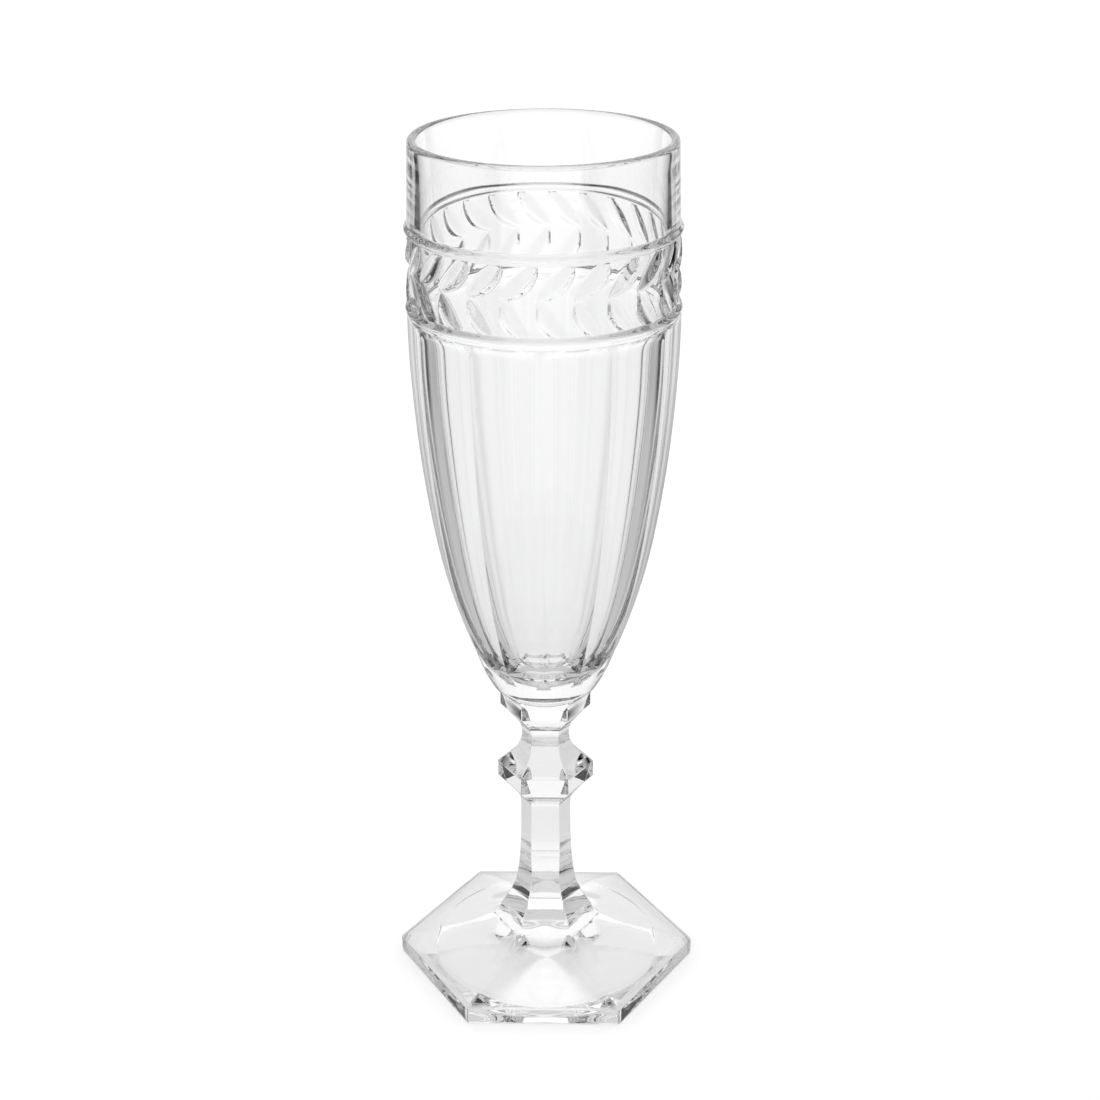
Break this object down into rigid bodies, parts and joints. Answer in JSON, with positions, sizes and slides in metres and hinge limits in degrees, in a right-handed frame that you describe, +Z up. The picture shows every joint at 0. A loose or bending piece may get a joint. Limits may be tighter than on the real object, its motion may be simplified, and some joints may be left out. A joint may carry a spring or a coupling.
{
  "type": "champagne flute",
  "caption": "Clear pressed-glass champagne flute: tall panelled bowl with a laurel band under the rim, hexagonal collar, knopped stem and foot, for serving sparkling wine.",
  "frame": {"origin": "centre of the flat the foot stands on", "axes": "+Z up the axis of the glass to the rim; one flat of the hexagonal foot and stem faces -Y; +X to the right when that flat faces the viewer"},
  "size_m": [0.0738, 0.064, 0.21],
  "materials": {
    "bowl_glass": "fire-polished clear glass",
    "collar_glass": "cut and polished clear glass",
    "stem_glass": "cut and polished clear glass",
    "foot_glass": "pressed clear glass"
  },
  "bodies": {
    "root": {"bowl": "bowl_glass", "collar": "collar_glass", "knopped_stem": "stem_glass", "foot": "foot_glass"}
  },
  "joints": []
}
